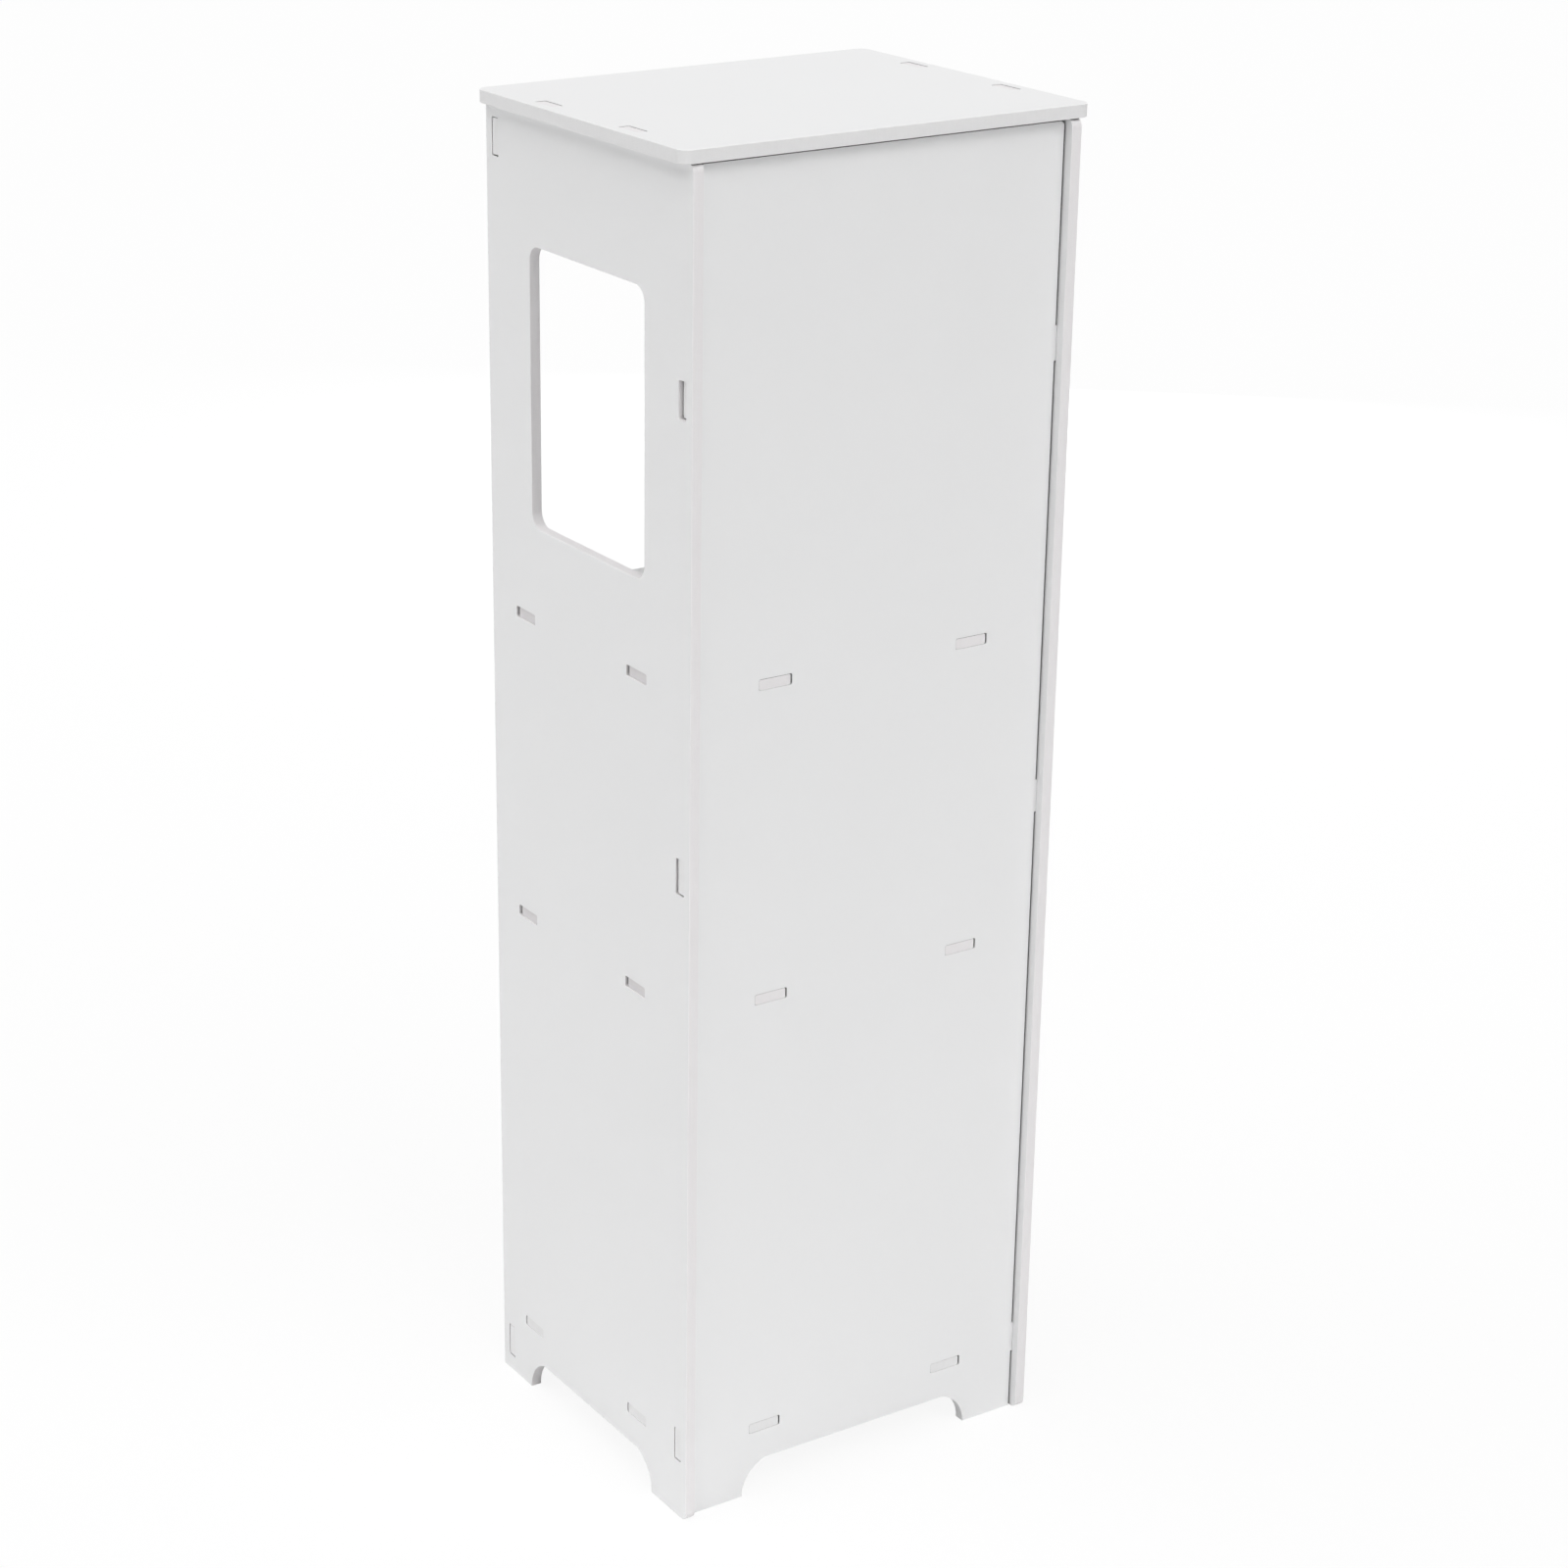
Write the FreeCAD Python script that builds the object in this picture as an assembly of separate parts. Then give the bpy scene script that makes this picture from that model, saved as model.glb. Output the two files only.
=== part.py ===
import FreeCAD, Part
import math
import os
from collections import namedtuple

# Narrow free-standing bathroom cabinet of slotted foam board. Above is an open niche with a window in
# the right-hand side, below is a cupboard with one shelf behind a door that turns on pivot pins.
# Millimetres, +Z up, front towards -Y, origin on the floor at the middle of the overall box.

# Overall sizes
HEIGHT = 800.0              # floor to the upper face of the top board
BODY_WIDTH = 246.4          # over the outer faces of the side panels
BODY_DEPTH = 213.0          # front edge to back edge of the side panels
BOARD = 6.5                 # thickness of the upright boards and of the door
SHELF_BOARD = 6.0           # thickness of the shelves and of the bottom board
EDGE_EASE = 0.4             # rounding of the boards' arrises

# Top board
TOP_THICKNESS = 7.3
TOP_OVERHANG = 6.3          # past the outer face of each side panel
TOP_CORNER = 6.5            # radius of the corners in plan

# Side panels
PANEL_CORNER = 5.0          # radius of the two back corners
SIDE_FOOT_FRONT = 34.0      # width of the front foot
SIDE_FOOT_BACK = 37.3       # width of the back foot
WINDOW_FROM_FRONT = 46.3    # window to the panel's front edge
WINDOW_FROM_BACK = 46.9     # window to the panel's back edge
WINDOW_BELOW_TOP = 71.7     # window's upper edge below the top board
WINDOW_HEIGHT = 160.2
WINDOW_CORNER = 9.0

# Arches between the feet
ARCH_HEIGHT = 22.0
ARCH_CROWN = 1.0            # how far the feet's round would rise above the arch's flat

# Back panel
BACK_INSET = 5.6            # outer face in front of the side panels' back edges
BACK_SIDE_GAP = 0.9         # gap to each side panel
BACK_TOP_GAP = 1.7          # gap below the top board
BACK_CORNER = 2.5           # radius of the upper corners
BACK_FOOT = 35.1            # width of each foot

# Front rails
RAIL_INSET = 7.0            # front face behind the side panels' front edges
TOP_RAIL_HEIGHT = 36.5
PLINTH_FOOT = 36.0          # width of each foot of the plinth rail

# Shelves and bottom board
NICHE_HEIGHT = 284.0        # niche shelf's upper face to the top board
MIDDLE_SHELF_TOP = 322.7    # floor to the middle shelf's upper face
BOTTOM_BOARD_TOP = 47.0     # floor to the bottom board's upper face
OUTER_SETBACK = 3.0         # niche shelf and bottom board behind the side panels' front edges
MIDDLE_SETBACK = 18.0       # the same of the middle shelf
MIDDLE_TAB_SHIFT = 1.4      # the middle shelf's side tabs nearer the front than the others' tabs

# Tabs and slots
TAB = 20.2                  # length of a tight tab
TAB_GAP = 0.8               # spare length of its slot, at one end
SHELF_TAB = 18.8            # length of a shelf's loose tab into a side panel
SHELF_GAP = 1.9             # spare length of its slot, at one end
SHELF_BACK_GAP = 1.0        # spare length of the back panel's slots for the shelves, at one end
SHELF_LINE_GAP = 0.3        # thin gap above a shelf's tabs and at the other end of its back tabs
FACE_GAP = 0.5              # gap that shows along one face of an upright tab
FIT = 0.1                   # clearance on the other sides of a tab
SEAT = 0.1                  # clearance between the end of a board and the board that it butts
SLOT_CORNER = 1.0           # radius of a slot's corners
FLUSH = 0.3                 # end of a tab below the face that it comes through
SHELF_RECESS = 0.9          # the same for a shelf's loose tabs in the side panels
SHELF_TAB_FROM_FRONT = 38.9  # middle of a shelf's front tabs to the side panels' front edges
SHELF_TAB_FROM_BACK = 53.9  # middle of its back tabs to their back edges
SHELF_BACK_SPACING = 131.0  # between the middles of a shelf's two back tabs
TOP_TAB = 18.6              # length of a side panel's upper tab
TOP_TAB_GAP = 0.4           # spare length and width of its slot, at the front end and on one face
TOP_TAB_SPACING = 86.0      # between the middles of a side panel's two upper tabs
BACK_TAB_LOWER = 47.8       # floor to the middle of the back panel's lower tabs
BACK_TAB_MIDDLE = 403.0     # floor to the middle of its middle tabs
BACK_TAB_BELOW_TOP = 121.8  # middle of its upper tabs below its upper edge
MIDDLE_RECESS = 0.7         # ends of its middle tabs below the side panels' faces
MIDDLE_GAP = 1.6            # gap in front of them
UPPER_RECESS = 2.5          # the same of its upper tabs
UPPER_GAP = 1.0

# Door and its pivot pins
DOOR_SETBACK = 4.5          # front face behind the side panels' front edges
DOOR_SIDE_GAP = 1.5         # gap to each side panel
DOOR_END_GAP = 1.5          # gap to the niche shelf and to the bottom board
PIN_RADIUS = 1.75
PIN_IN_DOOR = 15.0
PIN_COVER = 1.5             # board left past the end of a pin
COLLAR_RADIUS = 2.9
PIN_PLAY = 0.3              # end play of each pin's collar
RUNNING_FIT = 0.05          # radial clearance of a pin in its board
HELD_FIT = 0.03             # radial clearance of a piece that is held in its hole
HOLE_SPARE = 0.4            # depth of a blind hole past the end of what it holds

# Knob
KNOB_FROM_EDGE = 28.0       # axis from the free edge of the door
KNOB_FROM_TOP = 120.0       # axis below the upper end of the door
KNOB_LENGTH = 19.0
KNOB_FLANGE_RADIUS = 6.5
KNOB_FLANGE = 1.5           # thickness of the flange on the door
KNOB_NECK_RADIUS = 4.8
KNOB_NECK_AT = 5.5          # narrowest place, from the door
KNOB_HEAD_RADIUS = 11.0
KNOB_DOME = 6.0             # height of the dome over the widest place
KNOB_RIM = 0.8              # rounding of the rim
KNOB_SCREW_RADIUS = 2.0
KNOB_SCREW_HEAD_RADIUS = 3.8
KNOB_SCREW_HEAD = 2.2
KNOB_THREAD = 8.0           # length of the screw in the knob
KNOB_SCREW_CLEARANCE = 0.25  # radial, in the door

# Magnetic catch under the niche shelf and its strike plate on the door
CATCH_FROM_EDGE = 34.0      # middle of the catch from the free edge of the door
CATCH_SIDE_WALL = 2.9       # walls of the housing round the magnet and its pole plates
CATCH_BACK_WALL = 3.9
CATCH_FLOOR = 1.7
CATCH_ROUND = 1.0           # rounding of the housing's lower edges
EAR_LENGTH = 9.0
EAR_THICKNESS = 2.4
EAR_DEPTH = 9.0
MAGNET_WIDTH = 22.0
MAGNET_THICKNESS = 5.2
MAGNET_DEPTH = 11.0
POLE_THICKNESS = 1.1
POLE_PROUD = 0.8            # pole plates past the housing's front face
CATCH_GAP = 0.3             # pole plates to the strike plate with the door shut
CATCH_SCREW_RADIUS = 1.5
CATCH_SCREW_HEAD_RADIUS = 2.9
CATCH_SCREW_HEAD = 1.8
CATCH_SCREW_GRIP = 3.6      # length of the screw in the shelf
STRIKE_WIDTH = 36.0
STRIKE_HEIGHT = 11.0
STRIKE_THICKNESS = 1.2
STRIKE_CORNER = 1.5
STRIKE_FROM_TOP = 0.5       # upper edge below the upper end of the door
STRIKE_SCREW_RADIUS = 1.4
STRIKE_SCREW_HEAD_RADIUS = 2.5
STRIKE_SCREW_GRIP = 4.5     # length of the screw in the door

# Cross recess of the screws, as shares of the screw's own head
RECESS_REACH = 0.62
RECESS_WIDTH = 0.26
RECESS_DEPTH = 0.55

OVERLAP = 1.0               # how far a cutter stands past a face, and a tab's root reaches into its board

V = FreeCAD.Vector
X, Y, Z = V(1, 0, 0), V(0, 1, 0), V(0, 0, 1)

# Planes and faces that the pieces share
knob_reach = KNOB_LENGTH - DOOR_SETBACK
front = knob_reach - (BODY_DEPTH + knob_reach) / 2
back = front + BODY_DEPTH
half = BODY_WIDTH / 2
inner = half - BOARD
underside = HEIGHT - TOP_THICKNESS
back_face = back - BACK_INSET
back_inner = back_face - BOARD
back_half = inner - BACK_SIDE_GAP
back_top = underside - BACK_TOP_GAP
rail_front = front + RAIL_INSET
niche_shelf_top = underside - NICHE_HEIGHT
niche_underside = niche_shelf_top - SHELF_BOARD
bottom_underside = BOTTOM_BOARD_TOP - SHELF_BOARD
top_rail_middle = underside - TOP_RAIL_HEIGHT / 2
plinth_middle = bottom_underside / 2

door_front = front + DOOR_SETBACK
door_back = door_front + BOARD
door_low = BOTTOM_BOARD_TOP + DOOR_END_GAP
door_high = niche_underside - DOOR_END_GAP
door_free_edge = inner - DOOR_SIDE_GAP
pivot_x = -(inner - DOOR_SIDE_GAP - BOARD / 2)
pivot_y = door_front + BOARD / 2
pin_in_board = SHELF_BOARD - PIN_COVER

knob_x = door_free_edge - KNOB_FROM_EDGE
knob_z = door_high - KNOB_FROM_TOP
catch_x = door_free_edge - CATCH_FROM_EDGE
catch_width = MAGNET_WIDTH + 2 * (FIT + CATCH_SIDE_WALL)
catch_depth = MAGNET_DEPTH + FIT + CATCH_BACK_WALL
catch_height = MAGNET_THICKNESS + 2 * (POLE_THICKNESS + FIT + CATCH_FLOOR)
pole_front = door_back + STRIKE_THICKNESS + CATCH_GAP
catch_front = pole_front + POLE_PROUD
catch_low = niche_underside - catch_height
magnet_z = niche_underside - catch_height / 2
strike_z = door_high - STRIKE_FROM_TOP - STRIKE_HEIGHT / 2
ear_middle = catch_front + catch_depth / 2
ear_screw_reach = catch_width / 2 + EAR_LENGTH / 2


def in_yz(x):
    return lambda point: V(x, point.x, point.y)


def in_xz(y):
    return lambda point: V(point.x, y, point.y)


def in_xy(z):
    return lambda point: V(point.x, point.y, z)


def block(low, high):
    """A box from its low corner to its high corner."""
    low = V(*low)
    size = V(*high) - low
    return Part.makeBox(size.x, size.y, size.z, low)


def rounded_face(corners, place):
    """A face whose outline turns at corners (u, v, radius), put into space by place."""
    turns = []
    for i, (u, v, radius) in enumerate(corners):
        here = V(u, v, 0)
        before = (V(*corners[i - 1][:2], 0) - here).normalize()
        after = (V(*corners[(i + 1) % len(corners)][:2], 0) - here).normalize()
        half_angle = before.getAngle(after) / 2
        reach = radius / math.tan(half_angle)
        inward = (before + after).normalize()
        crown = here + inward * (radius / math.sin(half_angle) - radius)
        turns.append((here + before * reach, crown, here + after * reach))
    edges = []
    for i, (enter, crown, leave) in enumerate(turns):
        if corners[i][2] > 0:
            edges.append(Part.Arc(place(enter), place(crown), place(leave)).toShape())
        following = turns[(i + 1) % len(turns)][0]
        edges.append(Part.makeLine(place(leave), place(following)))
    return Part.Face(Part.Wire(edges))


def rectangle(u_low, u_high, v_low, v_high, radius):
    corners = [(u_low, v_low), (u_high, v_low), (u_high, v_high), (u_low, v_high)]
    return [(u, v, radius) for u, v in corners]


def arch(u_low, u_high, place, depth):
    """Cutter for the arch between two feet whose inner edges are at u_low and u_high on the floor."""
    radius = ARCH_HEIGHT + ARCH_CROWN
    angle = math.asin(ARCH_HEIGHT / radius)

    def on_round(foot, inward, turn):
        return V(foot + inward * radius * (1 - math.cos(turn)), radius * math.sin(turn), 0)

    low = [on_round(u_low, 1, turn) for turn in (0, angle / 2, angle)]
    high = [on_round(u_high, -1, turn) for turn in (angle, angle / 2, 0)]
    corners = [V(u_high, 0, 0), V(u_high, -OVERLAP, 0), V(u_low, -OVERLAP, 0), V(u_low, 0, 0)]
    edges = [Part.Arc(*[place(p) for p in low]).toShape()]
    edges.append(Part.makeLine(place(low[2]), place(high[0])))
    edges.append(Part.Arc(*[place(p) for p in high]).toShape())
    for start, end in zip(corners, corners[1:]):
        edges.append(Part.makeLine(place(start), place(end)))
    return Part.Face(Part.Wire(edges)).extrude(depth)


def eased(board, normal, holes=False):
    """The board with the arrises of its two large faces, which lie across normal, rounded: those of
    the outline above the arch between the feet, or those of the holes."""
    edges = []
    for face in board.Faces:
        if face.Surface.TypeId == "Part::GeomPlane" and abs(face.normalAt(0, 0).dot(normal)) > 0.999:
            for wire in face.Wires:
                if wire.isSame(face.OuterWire) != holes:
                    edges.extend(wire.Edges)
    edges = [edge for edge in edges if edge.BoundBox.ZMax > ARCH_HEIGHT + OVERLAP]
    return board.makeFillet(EDGE_EASE, edges)


def bar(low, high, axis, radius):
    """A bar along axis between two corners, with its four long edges rounded."""
    u, v = [i for i in range(3) if i != axis]
    outline = rectangle(low[u], high[u], low[v], high[v], radius)
    place = (in_yz, in_xz, in_xy)[axis](low[axis])
    return rounded_face(outline, place).extrude((X, Y, Z)[axis] * (high[axis] - low[axis]))


def slot(tab, axis, span, low_gap, high_gap):
    """Cutter for the slot that a tab goes through along axis, over span. The gaps are those on the
    low and on the high side of the tab, along the two axes across, in X, Y, Z order."""
    low, high = list(tab[0]), list(tab[1])
    low[axis] = span[0] - OVERLAP
    high[axis] = span[1] + OVERLAP
    for i, cross in enumerate([i for i in range(3) if i != axis]):
        low[cross] -= low_gap[i]
        high[cross] += high_gap[i]
    return bar(low, high, axis, SLOT_CORNER)


def solids(tabs, axis):
    """Tabs along axis, with long edges that follow the round of their slots' corners."""
    return [bar(low, high, axis, SLOT_CORNER - FIT) for low, high in tabs]


def joined(board, tabs, cutters):
    """The board with its tabs added and its slots and holes cut."""
    if tabs:
        board = board.fuse(tabs)
    if cutters:
        board = board.cut(cutters)
    return board.removeSplitter()


def across(sign, near, far):
    """A low and high pair along X from two distances from the middle, on the side that sign gives."""
    return (near, far) if sign > 0 else (-far, -near)


# Tabs, each as its low and high corner

Shelf = namedtuple("Shelf", "top setback tab gap recess forward")
SHELVES = {
    "niche_shelf": Shelf(niche_shelf_top, OUTER_SETBACK, SHELF_TAB, SHELF_GAP, SHELF_RECESS, 0),
    "middle_shelf": Shelf(
        MIDDLE_SHELF_TOP, MIDDLE_SETBACK, SHELF_TAB, SHELF_GAP, SHELF_RECESS, MIDDLE_TAB_SHIFT),
    "bottom_board": Shelf(BOTTOM_BOARD_TOP, OUTER_SETBACK, TAB, TAB_GAP, FLUSH, 0),
}

BackTab = namedtuple("BackTab", "height recess gap")
BACK_TABS = [
    BackTab(BACK_TAB_LOWER, FLUSH, FACE_GAP),
    BackTab(BACK_TAB_MIDDLE, MIDDLE_RECESS, MIDDLE_GAP),
    BackTab(back_top - BACK_TAB_BELOW_TOP, UPPER_RECESS, UPPER_GAP),
]


def shelf_side_tabs(name, sign):
    board = SHELVES[name]
    x_low, x_high = across(sign, inner - OVERLAP, half - board.recess)
    tabs = []
    for place in (front + SHELF_TAB_FROM_FRONT, back - SHELF_TAB_FROM_BACK):
        y = place - board.forward
        low = (x_low, y - board.tab / 2, board.top - SHELF_BOARD)
        tabs.append((low, (x_high, y + board.tab / 2, board.top)))
    return tabs


def shelf_back_tabs(name):
    top = SHELVES[name].top
    tabs = []
    for sign in (-1, 1):
        x = sign * SHELF_BACK_SPACING / 2
        low = (x - TAB / 2, back_inner - OVERLAP, top - SHELF_BOARD)
        tabs.append((low, (x + TAB / 2, back_face - FLUSH, top)))
    return tabs


def back_side_tabs(sign):
    tabs = []
    for tab in BACK_TABS:
        x_low, x_high = across(sign, back_half - OVERLAP, half - tab.recess)
        low = (x_low, back_inner, tab.height - TAB / 2)
        tabs.append((low, (x_high, back_face, tab.height + TAB / 2)))
    return tabs


def rail_tab(sign, middle):
    x_low, x_high = across(sign, inner - OVERLAP, half - FLUSH)
    return (x_low, rail_front, middle - TAB / 2), (x_high, rail_front + BOARD, middle + TAB / 2)


def side_top_tabs(sign):
    x_low, x_high = across(sign, inner, half)
    tabs = []
    for step in (-1, 1):
        y = (front + back) / 2 + step * TOP_TAB_SPACING / 2
        low = (x_low, y - TOP_TAB / 2, underside - OVERLAP)
        tabs.append((low, (x_high, y + TOP_TAB / 2, HEIGHT - FLUSH)))
    return tabs


# Boards of the body

def side_panel(sign, has_window):
    x_low, x_high = across(sign, inner, half)
    place = in_yz(x_low)
    outline = [
        (front, 0, 0), (back, 0, PANEL_CORNER), (back, underside, PANEL_CORNER), (front, underside, 0)]
    board = rounded_face(outline, place).extrude(X * BOARD)
    board = board.cut(arch(front + SIDE_FOOT_FRONT, back - SIDE_FOOT_BACK, place, X * BOARD))
    board = eased(board, X)
    if has_window:
        head = underside - WINDOW_BELOW_TOP
        window = rectangle(
            front + WINDOW_FROM_FRONT, back - WINDOW_FROM_BACK, head - WINDOW_HEIGHT, head, WINDOW_CORNER)
        board = eased(board.cut(rounded_face(window, place).extrude(X * BOARD)), X, holes=True)
    cutters = []
    for name, size in SHELVES.items():
        for tab in shelf_side_tabs(name, sign):
            cutters.append(slot(tab, 0, (x_low, x_high), (size.gap, FIT), (FIT, SHELF_LINE_GAP)))
    for tab, size in zip(back_side_tabs(sign), BACK_TABS):
        cutters.append(slot(tab, 0, (x_low, x_high), (size.gap, TAB_GAP), (FIT, FIT)))
    for middle in (top_rail_middle, plinth_middle):
        tab = rail_tab(sign, middle)
        cutters.append(slot(tab, 0, (x_low, x_high), (FACE_GAP, TAB_GAP), (FIT, FACE_GAP)))
    return joined(board, solids(side_top_tabs(sign), 2), cutters)


def back_panel():
    place = in_xz(back_inner)
    outline = [
        (-back_half, 0, 0), (back_half, 0, 0),
        (back_half, back_top, BACK_CORNER), (-back_half, back_top, BACK_CORNER)]
    board = rounded_face(outline, place).extrude(Y * BOARD)
    board = board.cut(arch(-back_half + BACK_FOOT, back_half - BACK_FOOT, place, Y * BOARD))
    board = eased(board, Y)
    cutters = []
    for name in SHELVES:
        for tab in shelf_back_tabs(name):
            cutters.append(slot(
                tab, 1, (back_inner, back_face), (SHELF_BACK_GAP, FIT), (SHELF_LINE_GAP, SHELF_LINE_GAP)))
    return joined(board, solids(back_side_tabs(1) + back_side_tabs(-1), 0), cutters)


def top_board():
    reach = half + TOP_OVERHANG
    outline = rectangle(-reach, reach, front, back, TOP_CORNER)
    board = eased(rounded_face(outline, in_xy(underside)).extrude(Z * TOP_THICKNESS), Z)
    cutters = []
    for sign in (-1, 1):
        for tab in side_top_tabs(sign):
            cutters.append(slot(tab, 2, (underside, HEIGHT), (TOP_TAB_GAP, TOP_TAB_GAP), (FIT, FIT)))
    return joined(board, [], cutters)


def shelf(name, holes):
    size = SHELVES[name]
    reach = inner - SEAT
    outline = rectangle(-reach, reach, front + size.setback, back_inner - SEAT, 0)
    board = eased(rounded_face(outline, in_xy(size.top - SHELF_BOARD)).extrude(Z * SHELF_BOARD), Z)
    side_tabs = solids(shelf_side_tabs(name, 1) + shelf_side_tabs(name, -1), 0)
    return joined(board, side_tabs + solids(shelf_back_tabs(name), 1), holes)


def rail(low, high, has_feet):
    reach = inner - SEAT
    place = in_xz(rail_front)
    board = rounded_face(rectangle(-reach, reach, low, high, 0), place).extrude(Y * BOARD)
    if has_feet:
        board = board.cut(arch(-reach + PLINTH_FOOT, reach - PLINTH_FOOT, place, Y * BOARD))
    middle = (low + high) / 2
    return joined(eased(board, Y), solids([rail_tab(1, middle), rail_tab(-1, middle)], 0), [])


# Holes that the hinge pins and the catch's screws need in the boards

def pin_hole(start, direction):
    return Part.makeCylinder(
        PIN_RADIUS + RUNNING_FIT, pin_in_board + HOLE_SPARE, V(pivot_x, pivot_y, start), direction)


def catch_screw_places():
    return [V(catch_x + sign * ear_screw_reach, ear_middle, niche_underside) for sign in (-1, 1)]


def catch_screw_holes():
    radius = CATCH_SCREW_RADIUS + HELD_FIT
    depth = CATCH_SCREW_GRIP + HOLE_SPARE
    return [Part.makeCylinder(radius, depth, place, Z) for place in catch_screw_places()]


# Door, its pins and its knob

def door_panel():
    """A board with a round hinge edge about the pivot axis, so that it turns clear of the side panel."""
    hinge_front = V(pivot_x, door_front, door_low)
    hinge_back = V(pivot_x, door_back, door_low)
    free_front = V(door_free_edge, door_front, door_low)
    free_back = V(door_free_edge, door_back, door_low)
    edges = [
        Part.makeLine(hinge_front, free_front),
        Part.makeLine(free_front, free_back),
        Part.makeLine(free_back, hinge_back),
        Part.Arc(hinge_back, V(pivot_x - BOARD / 2, pivot_y, door_low), hinge_front).toShape(),
    ]
    board = eased(Part.Face(Part.Wire(edges)).extrude(Z * (door_high - door_low)), Z)
    pin_depth = PIN_IN_DOOR + HOLE_SPARE
    strike_depth = STRIKE_SCREW_GRIP + HOLE_SPARE
    knob_radius = KNOB_SCREW_RADIUS + KNOB_SCREW_CLEARANCE
    holes = [
        Part.makeCylinder(PIN_RADIUS + HELD_FIT, pin_depth, V(pivot_x, pivot_y, door_low), Z),
        Part.makeCylinder(PIN_RADIUS + HELD_FIT, pin_depth, V(pivot_x, pivot_y, door_high), -Z),
        Part.makeCylinder(knob_radius, BOARD, V(knob_x, door_front, knob_z), Y),
        Part.makeCylinder(
            STRIKE_SCREW_RADIUS + HELD_FIT, strike_depth, V(catch_x, door_back, strike_z), -Y),
    ]
    return joined(board, [], holes)


def hinge_pin(door_end, outward):
    """A pin half in the end of the door, with a collar in the gap and its free end in the board beyond."""
    collar = DOOR_END_GAP - PIN_PLAY
    root = V(pivot_x, pivot_y, door_end)
    shank = Part.makeCylinder(
        PIN_RADIUS, PIN_IN_DOOR + DOOR_END_GAP + pin_in_board, root - outward * PIN_IN_DOOR, outward)
    return shank.fuse(Part.makeCylinder(COLLAR_RADIUS, collar, root, outward)).removeSplitter()


def door_knob():
    """A turned knob: a flange on the door, a waist and a domed head."""
    def at(radius, reach):
        return V(knob_x + radius, door_front - reach, knob_z)

    dome_radius = (KNOB_HEAD_RADIUS ** 2 + KNOB_DOME ** 2) / (2 * KNOB_DOME)
    half_turn = math.asin(KNOB_HEAD_RADIUS / dome_radius) / 2
    dome_middle = at(
        dome_radius * math.sin(half_turn), KNOB_LENGTH - dome_radius * (1 - math.cos(half_turn)))
    waist = [
        at(KNOB_FLANGE_RADIUS, KNOB_FLANGE),
        at(KNOB_NECK_RADIUS, KNOB_NECK_AT),
        at(KNOB_HEAD_RADIUS, KNOB_LENGTH - KNOB_DOME),
    ]
    edges = [
        Part.makeLine(at(0, 0), at(KNOB_FLANGE_RADIUS, 0)),
        Part.makeLine(at(KNOB_FLANGE_RADIUS, 0), waist[0]),
        Part.Arc(*waist).toShape(),
        Part.Arc(waist[2], dome_middle, at(0, KNOB_LENGTH)).toShape(),
        Part.makeLine(at(0, KNOB_LENGTH), at(0, 0)),
    ]
    knob = Part.Face(Part.Wire(edges)).revolve(at(0, 0), Y, 360)
    rim = [edge for edge in knob.Edges if abs(edge.Length - 2 * math.pi * KNOB_HEAD_RADIUS) < 1e-6]
    knob = knob.makeFillet(KNOB_RIM, rim)
    hole = Part.makeCylinder(KNOB_SCREW_RADIUS + HELD_FIT, KNOB_THREAD + HOLE_SPARE, at(0, 0), -Y)
    return joined(knob, [], [hole])


def cross_recess(head_face, outward, head_radius, head):
    """Cutter for the cross in a screw head, whose outer face is at head_face."""
    side = X if abs(outward.dot(X)) < 0.5 else Y
    third = outward.cross(side)
    reach, width, depth = head_radius * RECESS_REACH, head_radius * RECESS_WIDTH, head * RECESS_DEPTH
    bars = []
    for along, over in ((side, third), (third, side)):
        corners = [(1, 1), (-1, 1), (-1, -1), (1, -1)]
        points = [head_face + along * (reach * a) + over * (width / 2 * b) for a, b in corners]
        bars.append(Part.Face(Part.makePolygon(points + points[:1])).extrude(outward * -depth))
    return bars


def pan_screw(seat, outward, radius, length, head_radius, head):
    """A screw with a low domed head on seat, its shank running the other way from outward."""
    cap = Part.makeCylinder(head_radius, head, seat, outward)
    rim = [edge for edge in cap.Edges if abs((edge.CenterOfMass - seat).dot(outward) - head) < 1e-6]
    cap = cap.makeFillet(head * RECESS_DEPTH, rim)
    screw = cap.fuse(Part.makeCylinder(radius, length, seat, -outward))
    return joined(screw, [], cross_recess(seat + outward * head, outward, head_radius, head))


def knob_screw():
    return pan_screw(
        V(knob_x, door_back, knob_z), Y, KNOB_SCREW_RADIUS, BOARD + KNOB_THREAD, KNOB_SCREW_HEAD_RADIUS,
        KNOB_SCREW_HEAD)


# Magnetic catch

def catch_housing():
    half_width = catch_width / 2
    body = block(
        (catch_x - half_width, catch_front, catch_low),
        (catch_x + half_width, catch_front + catch_depth, niche_underside))
    low_edges = [edge for edge in body.Edges if abs(edge.BoundBox.ZMax - catch_low) < 1e-6]
    body = body.makeFillet(CATCH_ROUND, low_edges)
    ears = block(
        (catch_x - half_width - EAR_LENGTH, ear_middle - EAR_DEPTH / 2, niche_underside - EAR_THICKNESS),
        (catch_x + half_width + EAR_LENGTH, ear_middle + EAR_DEPTH / 2, niche_underside))
    pocket_half = MAGNET_WIDTH / 2 + FIT
    pocket_rise = MAGNET_THICKNESS / 2 + POLE_THICKNESS + FIT
    cutters = [block(
        (catch_x - pocket_half, catch_front - OVERLAP, magnet_z - pocket_rise),
        (catch_x + pocket_half, catch_front + MAGNET_DEPTH + FIT, magnet_z + pocket_rise))]
    for place in catch_screw_places():
        cutters.append(Part.makeCylinder(CATCH_SCREW_RADIUS + FIT, EAR_THICKNESS, place, -Z))
    return body.fuse(ears).cut(cutters).removeSplitter()


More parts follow.
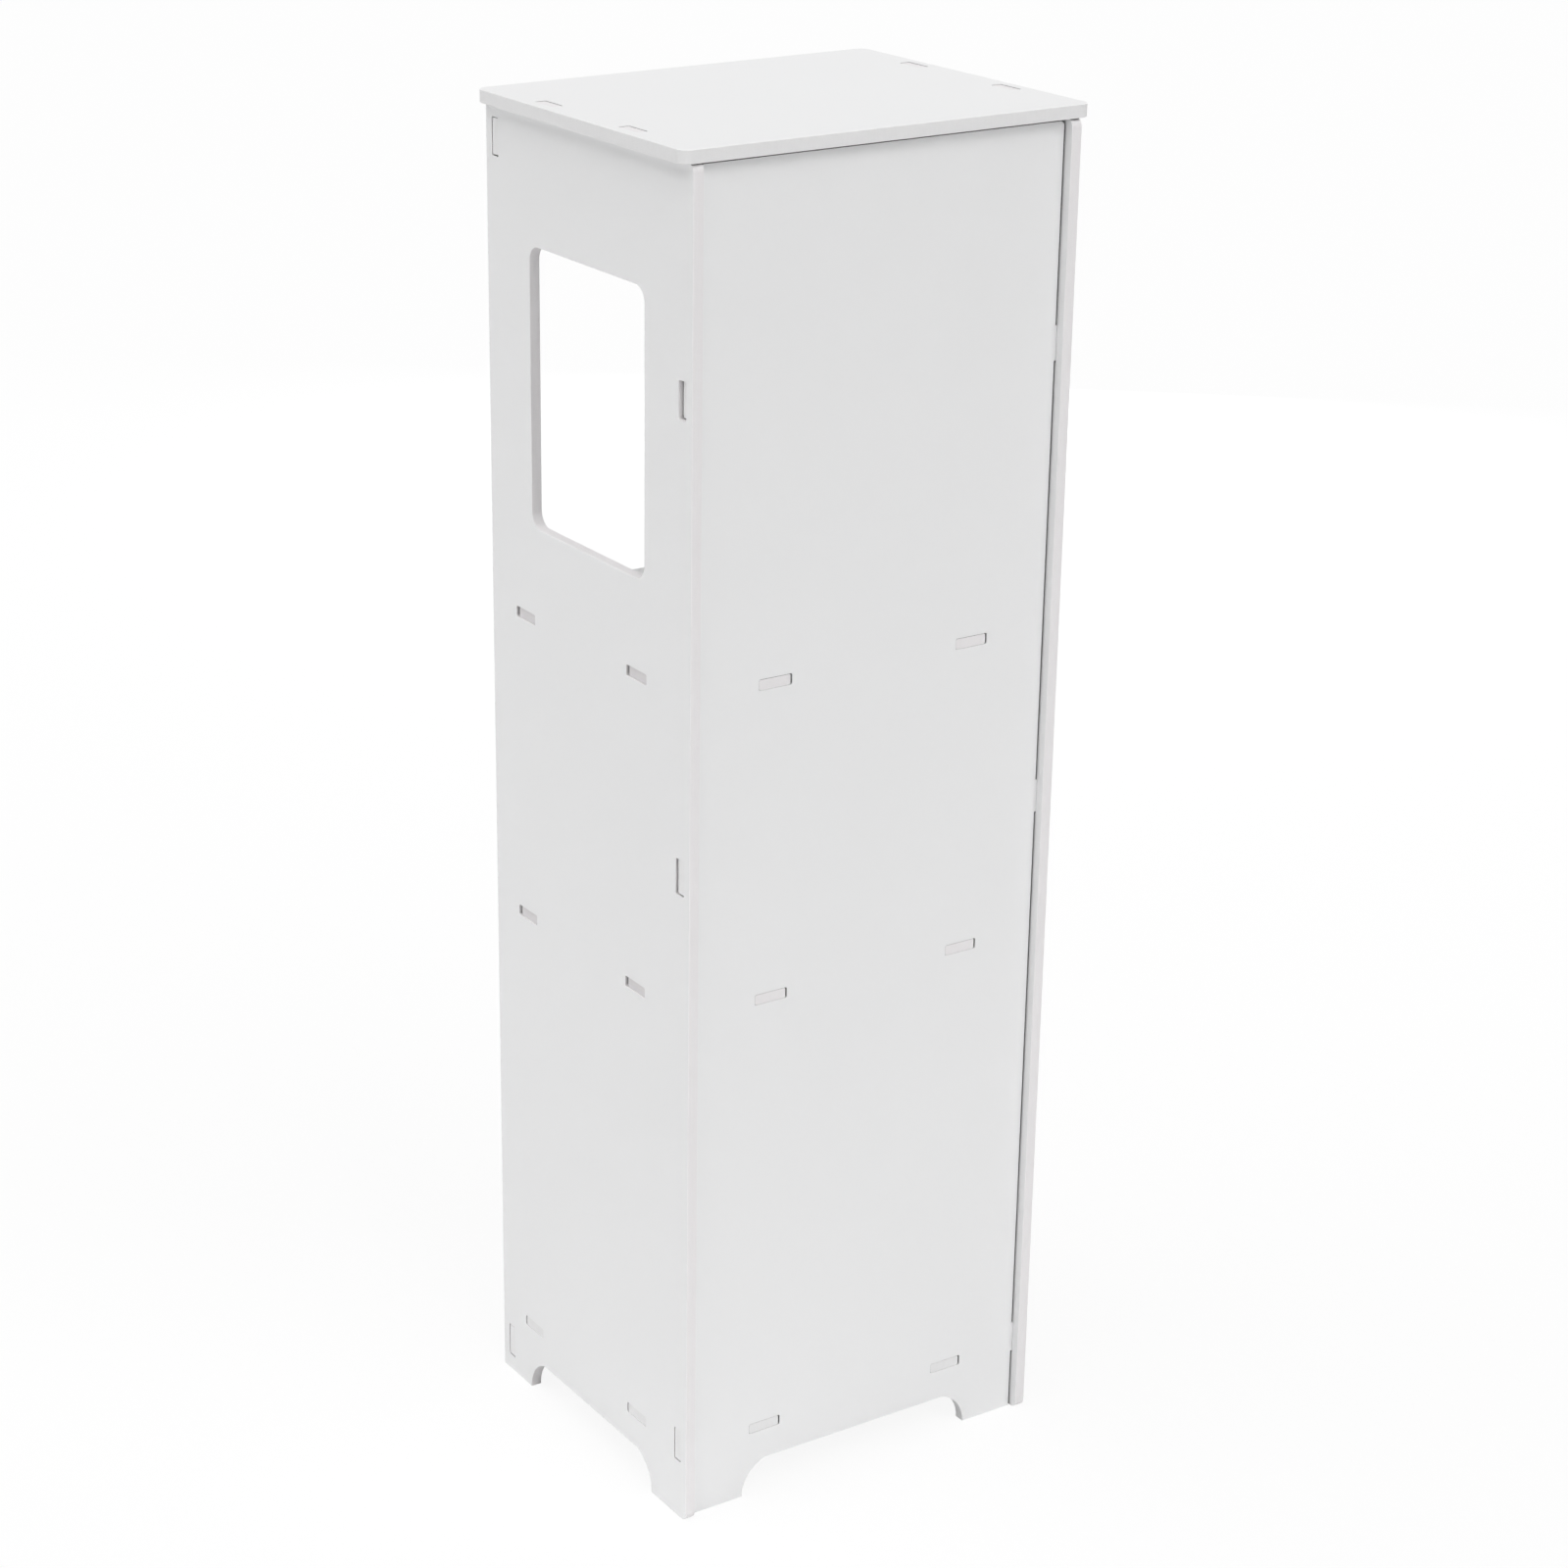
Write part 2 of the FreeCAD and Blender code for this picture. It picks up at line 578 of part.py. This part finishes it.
def catch_magnet():
    return block(
        (catch_x - MAGNET_WIDTH / 2, catch_front, magnet_z - MAGNET_THICKNESS / 2),
        (catch_x + MAGNET_WIDTH / 2, catch_front + MAGNET_DEPTH, magnet_z + MAGNET_THICKNESS / 2))


def catch_pole_plates():
    plates = []
    for low in (magnet_z + MAGNET_THICKNESS / 2, magnet_z - MAGNET_THICKNESS / 2 - POLE_THICKNESS):
        plates.append(block(
            (catch_x - MAGNET_WIDTH / 2, pole_front, low),
            (catch_x + MAGNET_WIDTH / 2, catch_front + MAGNET_DEPTH, low + POLE_THICKNESS)))
    return Part.makeCompound(plates)


def catch_screws():
    screws = []
    for place in catch_screw_places():
        seat = place - Z * EAR_THICKNESS
        screws.append(pan_screw(
            seat, -Z, CATCH_SCREW_RADIUS, EAR_THICKNESS + CATCH_SCREW_GRIP, CATCH_SCREW_HEAD_RADIUS,
            CATCH_SCREW_HEAD))
    return Part.makeCompound(screws)


def strike_cone(spare):
    """The countersunk head's cone, from the strike plate's face down to its back face."""
    return Part.makeCone(
        STRIKE_SCREW_RADIUS + spare, STRIKE_SCREW_HEAD_RADIUS + spare, STRIKE_THICKNESS,
        V(catch_x, door_back, strike_z), Y)


def strike_plate():
    outline = rectangle(
        catch_x - STRIKE_WIDTH / 2, catch_x + STRIKE_WIDTH / 2, strike_z - STRIKE_HEIGHT / 2,
        strike_z + STRIKE_HEIGHT / 2, STRIKE_CORNER)
    plate = rounded_face(outline, in_xz(door_back)).extrude(Y * STRIKE_THICKNESS)
    return joined(plate, [], [strike_cone(HELD_FIT)])


def strike_screw():
    seat = V(catch_x, door_back, strike_z)
    shank = Part.makeCylinder(STRIKE_SCREW_RADIUS, STRIKE_SCREW_GRIP, seat, -Y)
    face = seat + Y * STRIKE_THICKNESS
    recess = cross_recess(face, Y, STRIKE_SCREW_HEAD_RADIUS, STRIKE_THICKNESS)
    return joined(strike_cone(0).fuse(shank), [], recess)


PIECES = {
    "side_panel_right": side_panel(1, True),
    "side_panel_left": side_panel(-1, False),
    "back_panel": back_panel(),
    "top_board": top_board(),
    "niche_shelf": shelf("niche_shelf", [pin_hole(niche_underside, Z)] + catch_screw_holes()),
    "middle_shelf": shelf("middle_shelf", []),
    "bottom_board": shelf("bottom_board", [pin_hole(BOTTOM_BOARD_TOP, -Z)]),
    "top_rail": rail(underside - TOP_RAIL_HEIGHT, underside, False),
    "plinth_rail": rail(0, bottom_underside, True),
    "door_panel": door_panel(),
    "hinge_pin_upper": hinge_pin(door_high, Z),
    "hinge_pin_lower": hinge_pin(door_low, -Z),
    "door_knob": door_knob(),
    "knob_screw": knob_screw(),
    "catch_housing": catch_housing(),
    "catch_magnet": catch_magnet(),
    "catch_pole_plates": catch_pole_plates(),
    "catch_screws": catch_screws(),
    "strike_plate": strike_plate(),
    "strike_screw": strike_screw(),
}

os.makedirs("parts", exist_ok=True)
for name, shape in PIECES.items():
    shape.exportStep("parts/" + name + ".step")
    state = "valid" if shape.isValid() else "INVALID"
    print(name, len(shape.Solids), "solids", round(shape.Volume), "mm3", state)
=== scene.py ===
import math

import bpy
from mathutils import Matrix, Vector


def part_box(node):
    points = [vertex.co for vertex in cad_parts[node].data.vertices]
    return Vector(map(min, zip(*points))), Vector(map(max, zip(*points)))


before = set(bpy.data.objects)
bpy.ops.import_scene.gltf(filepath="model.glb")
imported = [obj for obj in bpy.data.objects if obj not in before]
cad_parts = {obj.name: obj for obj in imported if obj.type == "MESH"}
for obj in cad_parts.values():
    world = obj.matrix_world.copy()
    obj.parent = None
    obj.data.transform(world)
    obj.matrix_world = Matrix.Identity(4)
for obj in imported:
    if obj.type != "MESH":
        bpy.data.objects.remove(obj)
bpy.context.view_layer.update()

X, Y, Z = Vector((1, 0, 0)), Vector((0, 1, 0)), Vector((0, 0, 1))

# Camera, as the picture of 1600 by 1600 pixels was taken: from behind the cabinet, on its window side
IMAGE_PX = 1600
FOCAL_PX = 3557.6
AXIS_PX = 658.3                     # column of the picture that the lens axis meets
SENSOR = 36.0                       # millimetres
CAMERA_AT = Vector((1.0575, 1.58095, 1.1305))
CAMERA_AZIMUTH = 148.30             # degrees, 0 looks along +Y and 90 along -X
CAMERA_ELEVATION = 21.07
CAMERA_ROLL = 0.06

# Light and floor
SKY = 0.05                          # strength of the even light from all round
WIDE_SPREAD = math.radians(45)
WIDE_AIM = Vector((0.0, 0.0, 0.0))
WIDE_LAMPS = {                      # far lamps: direction that they stand in and strength
    "wide_left": (Vector((1.7, -0.4, 1.9)), 0.25),
    "wide_high": (Vector((1.2, -0.6, 2.6)), 1.10),
    "wide_corner": (Vector((1.0, 1.3, 2.3)), 0.84),
    "wide_right": (Vector((-0.5, 1.8, 1.9)), 1.38),
}
SOFTBOX_SIZE = 0.7
SOFTBOX_AIM = Vector((0.0, 0.0, 0.4))
SOFTBOXES = {                       # place and power in watts
    "softbox_low": (Vector((2.1, -0.3, 0.4)), 3.9),
    "softbox_behind": (Vector((-1.6, -1.9, 0.4)), 16.0),
}
WHITE = (1.0, 1.0, 1.0, 1.0)
FLOOR_SIZE = 14.0
FLOOR_COLOUR = (0.90, 0.90, 0.90, 1.0)
FLOOR_LIFT = 0.90                   # share of plain white in what the camera sees of the floor

# Foam board. A pair of colours is the darker and the lighter one that a pattern mixes.
SKIN = ((0.857, 0.858, 0.861, 1.0), (0.871, 0.871, 0.874, 1.0))
NEUTRAL_EDGE = ((0.835, 0.832, 0.834, 1.0), (0.872, 0.870, 0.871, 1.0))
# Painted shade: a darker copy of NEUTRAL_EDGE for the edges of the top and bottom boards.
PAINTED_SHADE_EDGE = ((0.804, 0.801, 0.803, 1.0), (0.840, 0.837, 0.839, 1.0))
WARM_EDGE = ((0.828, 0.808, 0.815, 1.0), (0.868, 0.850, 0.856, 1.0))
# A grey for the sawn edges of the shelves that face sideways.
SIDEWAYS_END_GREY = (0.52, 0.50, 0.51, 1.0)
SIDEWAYS_END_SHARE = 0.36                 # of that colour in the ends of the shelves' tabs
PORE = (0.68, 0.66, 0.665, 1.0)
ARRIS_HIGHLIGHT = (0.900, 0.893, 0.895, 1.0)  # painted highlight on the arrises
GAP_PAINTED_SHADE = (0.10, 0.095, 0.095, 1.0)    # painted shade in narrow gaps and recesses between boards
GAP_SHADE_REACH = 0.005                  # metres of open space round a surface beyond which it gets no painted shade
GAP_SHADE_SAMPLES = 8
SAW_STRETCH = (1.0, 1.0, 0.12)      # makes the saw marks long in height
PEEL_DEPTH = 0.00006                # metres
PORE_DEPTH = 0.00012

# Fittings
NYLON = ((0.78, 0.775, 0.75, 1.0), (0.84, 0.835, 0.81, 1.0))
NYLON_ROUGH = (0.36, 0.48)
CATCH_PLASTIC = ((0.80, 0.80, 0.79, 1.0), (0.85, 0.85, 0.84, 1.0))
CATCH_ROUGH = (0.40, 0.55)
NICKEL = ((0.66, 0.635, 0.60, 1.0), (0.74, 0.72, 0.69, 1.0))
ZINC = ((0.56, 0.57, 0.60, 1.0), (0.70, 0.70, 0.69, 1.0))
FERRITE = ((0.045, 0.044, 0.045, 1.0), (0.085, 0.082, 0.080, 1.0))
MOULD_DEPTH = 0.00004               # metres
BRUSH_DEPTH = 0.00002
STAIN_DEPTH = 0.00002
SPECKLE_DEPTH = 0.00005

RISE, FALL = (0.0, 1.0), (1.0, 0.0)
NOISE_BAND = (0.3, 0.7)             # where most values of a noise lie
MIX_COLOURS, MIX_RESULT = (6, 7), 2  # sockets of a Mix node for colours, by number as their names repeat


class Nodes:
    """A node tree with short ways to add nodes and to feed their sockets with values or other sockets."""

    def __init__(self, tree):
        self.tree = tree

    def feed(self, socket, value):
        if isinstance(value, bpy.types.NodeSocket):
            self.tree.links.new(value, socket)
        else:
            socket.default_value = value

    def add(self, kind, inputs, **settings):
        node = self.tree.nodes.new(kind)
        for name, value in settings.items():
            setattr(node, name, value)
        for name, value in inputs.items():
            self.feed(node.inputs[name], value)
        return node

    def math(self, operation, first, second=0.0):
        return self.add("ShaderNodeMath", {0: first, 1: second}, operation=operation).outputs[0]

    def vector(self, operation, first, second, output="Vector"):
        return self.add("ShaderNodeVectorMath", {0: first, 1: second}, operation=operation).outputs[output]

    def facing(self, normal, axis):
        """1 where a surface faces along the axis, either way, and 0 where it lies along it."""
        return self.math("ABSOLUTE", self.vector("DOT_PRODUCT", normal, axis, "Value"))

    def ramp(self, value, between, to):
        inputs = {"Value": value, "From Min": between[0], "From Max": between[1], "To Min": to[0], "To Max": to[1]}
        return self.add("ShaderNodeMapRange", inputs, interpolation_type="SMOOTHSTEP").outputs["Result"]

    def noise(self, vector, per_metre, detail=2.0):
        inputs = {"Vector": vector, "Scale": per_metre, "Detail": detail}
        return self.add("ShaderNodeTexNoise", inputs).outputs["Fac"]

    def cells(self, vector, per_metre):
        return self.add("ShaderNodeTexVoronoi", {"Vector": vector, "Scale": per_metre}).outputs["Distance"]

    def blend(self, factor, *colours):
        node = self.add("ShaderNodeMix", {"Factor": factor}, data_type="RGBA")
        for socket, colour in zip(MIX_COLOURS, colours):
            self.feed(node.inputs[socket], colour)
        return node.outputs[MIX_RESULT]

    def bump(self, height, distance, strength, normal=None):
        inputs = {"Height": height, "Distance": distance, "Strength": strength}
        if normal:
            inputs["Normal"] = normal
        return self.add("ShaderNodeBump", inputs).outputs["Normal"]


class Finish(Nodes):
    """A material with one Principled shader, and the object's own coordinates for its patterns."""

    def __init__(self, name, **constants):
        self.material = bpy.data.materials.new(name)
        self.material.use_nodes = True
        super().__init__(self.material.node_tree)
        self.shader = self.tree.nodes["Principled BSDF"]
        place = self.tree.nodes.new("ShaderNodeTexCoord")
        self.position = place.outputs["Object"]
        self.normal = place.outputs["Normal"]
        for socket, value in constants.items():
            self.set(socket.replace("_", " "), value)

    def set(self, socket, value):
        self.feed(self.shader.inputs[socket], value)


def foam_board(name, across, edge, grey_ends=0.0):
    """White foam board whose large faces lie across the given axis. They have a smooth matt skin with
    a faint mottle. The sawn edges, in a pair of colours, show the foam: rougher and finely pored, and,
    by the last argument, grey where they face sideways. The arrises carry a painted highlight, and
    narrow gaps between boards carry painted shade."""
    board = Finish(name, Specular_IOR_Level=0.20)
    facing = board.facing(board.normal, across)
    skin = board.ramp(facing, (0.80, 0.985), RISE)

    mottle = board.noise(board.position, per_metre=9.0, detail=3.0)
    grain = board.noise(board.position, per_metre=900.0)
    skin_colour = board.blend(mottle, *SKIN)

    pores = board.cells(board.position, per_metre=1400.0)
    saw = board.noise(board.vector("MULTIPLY", board.position, SAW_STRETCH), per_metre=650.0, detail=3.0)
    # Sawn edges that face along X, such as the shelves' tab ends, are mixed towards a grey.
    sideways_grey = board.math("MULTIPLY", board.facing(board.normal, X), grey_ends)
    edge_colour = board.blend(sideways_grey, board.blend(saw, *edge), SIDEWAYS_END_GREY)
    edge_colour = board.blend(board.ramp(pores, (0.05, 0.35), (0.22, 0.0)), edge_colour, PORE)
    colour = board.blend(skin, edge_colour, skin_colour)
    # Painted highlight: a lighter band on the rounded arrises between edge and face.
    past_edge = board.ramp(facing, (0.12, 0.30), RISE)
    before_face = board.ramp(facing, (0.92, 0.99), FALL)
    colour = board.blend(board.math("MULTIPLY", past_edge, before_face), colour, ARRIS_HIGHLIGHT)
    # Painted shade: ambient occlusion darkens surfaces with little open space round them, in narrow gaps, slots
    # and recesses.
    occlusion = board.add("ShaderNodeAmbientOcclusion", {"Distance": GAP_SHADE_REACH}, samples=GAP_SHADE_SAMPLES)
    painted_gap_shade = board.ramp(occlusion.outputs["AO"], (0.05, 0.42), FALL)
    board.set("Base Color", board.blend(painted_gap_shade, colour, GAP_PAINTED_SHADE))

    skin_rough = board.ramp(grain, NOISE_BAND, (0.50, 0.60))
    edge_rough = board.ramp(skin, RISE, (0.06, 0.0))
    board.set("Roughness", board.math("ADD", skin_rough, edge_rough))

    peel = board.bump(grain, PEEL_DEPTH, board.ramp(skin, RISE, (0.0, 0.35)))
    board.set("Normal", board.bump(pores, PORE_DEPTH, board.ramp(skin, RISE, (0.6, 0.0)), peel))
    return board.material


def moulded_plastic(name, colours, rough):
    """White moulded plastic with a fine spark-eroded grain."""
    plastic = Finish(name, Specular_IOR_Level=0.5)
    tone = plastic.noise(plastic.position, per_metre=160.0, detail=3.0)
    grain = plastic.noise(plastic.position, per_metre=3200.0)
    plastic.set("Base Color", plastic.blend(tone, *colours))
    plastic.set("Roughness", plastic.ramp(grain, NOISE_BAND, rough))
    plastic.set("Normal", plastic.bump(grain, MOULD_DEPTH, strength=0.3))
    return plastic.material


def satin_nickel(name, axis_at):
    """Nickel, brushed in rings about an axis along Y through axis_at."""
    metal = Finish(name, Metallic=1.0)
    parts = metal.add("ShaderNodeSeparateXYZ", {0: metal.vector("SUBTRACT", metal.position, axis_at)})
    across = metal.add("ShaderNodeCombineXYZ", {"X": parts.outputs["X"], "Y": parts.outputs["Z"]})
    radius = metal.add("ShaderNodeVectorMath", {0: across.outputs[0]}, operation="LENGTH").outputs["Value"]
    rings = metal.add("ShaderNodeCombineXYZ", {"X": radius, "Y": parts.outputs["Y"]}).outputs[0]
    brush = metal.noise(rings, per_metre=5200.0, detail=4.0)
    tone = metal.noise(metal.position, per_metre=220.0)
    metal.set("Base Color", metal.blend(tone, *NICKEL))
    metal.set("Roughness", metal.ramp(brush, NOISE_BAND, (0.24, 0.40)))
    metal.set("Normal", metal.bump(brush, BRUSH_DEPTH, strength=0.35))
    return metal.material


def zinc_steel(name):
    """Zinc-plated steel with a faint spangle and uneven sheen."""
    metal = Finish(name, Metallic=1.0)
    spangle = metal.cells(metal.position, per_metre=900.0)
    stain = metal.noise(metal.position, per_metre=420.0, detail=3.0)
    metal.set("Base Color", metal.blend(stain, *ZINC))
    metal.set("Roughness", metal.ramp(spangle, (0.1, 0.7), (0.27, 0.42)))
    metal.set("Normal", metal.bump(stain, STAIN_DEPTH, strength=0.25))
    return metal.material


def ferrite(name):
    """Pressed ferrite: dark, dull and finely speckled."""
    magnet = Finish(name, Specular_IOR_Level=0.4)
    speckle = magnet.cells(magnet.position, per_metre=2600.0)
    tone = magnet.noise(magnet.position, per_metre=500.0, detail=3.0)
    magnet.set("Base Color", magnet.blend(tone, *FERRITE))
    magnet.set("Roughness", magnet.ramp(speckle, (0.1, 0.6), (0.52, 0.72)))
    magnet.set("Normal", magnet.bump(speckle, SPECKLE_DEPTH, strength=0.4))
    return magnet.material


def seen_directly(nodes):
    """1 for rays that show the surroundings to the camera, straight or in metal or glass, else 0."""
    path = nodes.add("ShaderNodeLightPath", {})
    shown = nodes.math("MAXIMUM", path.outputs["Is Camera Ray"], path.outputs["Is Glossy Ray"])
    return nodes.math("MAXIMUM", shown, path.outputs["Is Transmission Ray"])


def pale_floor(name):
    """A pale matt floor that shows almost white, with a soft shadow under the object."""
    material = bpy.data.materials.new(name)
    material.use_nodes = True
    nodes = Nodes(material.node_tree)
    nodes.tree.nodes.clear()
    matt = nodes.add("ShaderNodeBsdfDiffuse", {"Color": FLOOR_COLOUR})
    white = nodes.add("ShaderNodeEmission", {"Color": WHITE, "Strength": 1.0})
    lift = nodes.math("MULTIPLY", seen_directly(nodes), FLOOR_LIFT)
    mix = nodes.add("ShaderNodeMixShader", {0: lift, 1: matt.outputs[0], 2: white.outputs[0]})
    nodes.add("ShaderNodeOutputMaterial", {"Surface": mix.outputs[0]})
    return material


def dress(material, *names):
    for name in names:
        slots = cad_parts[name].data.materials
        slots.clear()
        slots.append(material)


def dress_nodes():
    dress(foam_board("foam_board_sides", X, WARM_EDGE), "side_panel_right", "side_panel_left")
    dress(foam_board("foam_board_upright", Y, NEUTRAL_EDGE),
          "back_panel", "top_rail", "plinth_rail", "door_panel")
    dress(foam_board("foam_board_shelves", Z, WARM_EDGE, SIDEWAYS_END_SHARE), "niche_shelf", "middle_shelf")
    # The top and bottom boards' edges take that darker copy of the edge colour, as painted shade.
    dress(foam_board("foam_board_ends", Z, PAINTED_SHADE_EDGE), "top_board", "bottom_board")
    dress(moulded_plastic("nylon", NYLON, NYLON_ROUGH), "hinge_pin_upper", "hinge_pin_lower")
    dress(moulded_plastic("catch_plastic", CATCH_PLASTIC, CATCH_ROUGH), "catch_housing")
    knob_low, knob_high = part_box("door_knob")
    dress(satin_nickel("satin_nickel", (knob_low + knob_high) / 2), "door_knob")
    dress(zinc_steel("zinc_steel"),
          "knob_screw", "catch_pole_plates", "catch_screws", "strike_plate", "strike_screw")
    dress(ferrite("ferrite"), "catch_magnet")


def make_floor():
    half = FLOOR_SIZE / 2
    corners = [(-half, -half, 0), (half, -half, 0), (half, half, 0), (-half, half, 0)]
    mesh = bpy.data.meshes.new("floor")
    mesh.from_pydata(corners, [], [(0, 1, 2, 3)])
    mesh.materials.append(pale_floor("pale_floor"))
    floor = bpy.data.objects.new("floor", mesh)
    bpy.context.scene.collection.objects.link(floor)


def make_sky():
    world = bpy.data.worlds.new("studio")
    world.use_nodes = True
    nodes = Nodes(world.node_tree)
    nodes.tree.nodes.clear()
    light = nodes.add("ShaderNodeBackground", {"Color": WHITE, "Strength": SKY})
    backdrop = nodes.add("ShaderNodeBackground", {"Color": WHITE, "Strength": 1.0})
    shown = seen_directly(nodes)
    mix = nodes.add("ShaderNodeMixShader", {0: shown, 1: light.outputs[0], 2: backdrop.outputs[0]})
    nodes.add("ShaderNodeOutputWorld", {"Surface": mix.outputs[0]})
    bpy.context.scene.world = world


def hang_lamp(data, place, aim):
    lamp = bpy.data.objects.new(data.name, data)
    lamp.location = place
    lamp.rotation_euler = (aim - place).to_track_quat("-Z", "Y").to_euler()
    bpy.context.scene.collection.objects.link(lamp)


def make_lamps():
    for name, (place, strength) in WIDE_LAMPS.items():
        wide = bpy.data.lights.new(name, "SUN")
        wide.energy = strength
        wide.angle = WIDE_SPREAD
        hang_lamp(wide, place, WIDE_AIM)
    for name, (place, power) in SOFTBOXES.items():
        softbox = bpy.data.lights.new(name, "AREA")
        softbox.shape = "SQUARE"
        softbox.size = SOFTBOX_SIZE
        softbox.energy = power
        hang_lamp(softbox, place, SOFTBOX_AIM)


def make_camera():
    azimuth, elevation, roll = map(math.radians, (CAMERA_AZIMUTH, CAMERA_ELEVATION, CAMERA_ROLL))
    ahead = Vector((-math.sin(azimuth) * math.cos(elevation), math.cos(azimuth) * math.cos(elevation),
                    -math.sin(elevation)))
    level = Vector((math.cos(azimuth), math.sin(azimuth), 0))
    upright = level.cross(ahead)
    right = level * math.cos(roll) + upright * math.sin(roll)
    up = upright * math.cos(roll) - level * math.sin(roll)
    data = bpy.data.cameras.new("camera")
    data.sensor_width = SENSOR
    data.lens = FOCAL_PX * SENSOR / IMAGE_PX
    data.shift_x = 0.5 - AXIS_PX / IMAGE_PX
    camera = bpy.data.objects.new("camera", data)
    turn = Matrix((right, up, -ahead)).transposed()
    camera.matrix_world = Matrix.Translation(CAMERA_AT) @ turn.to_4x4()
    bpy.context.scene.collection.objects.link(camera)
    bpy.context.scene.camera = camera


dress_nodes()
make_floor()
make_sky()
make_lamps()
make_camera()
bpy.context.scene.view_settings.view_transform = "Standard"
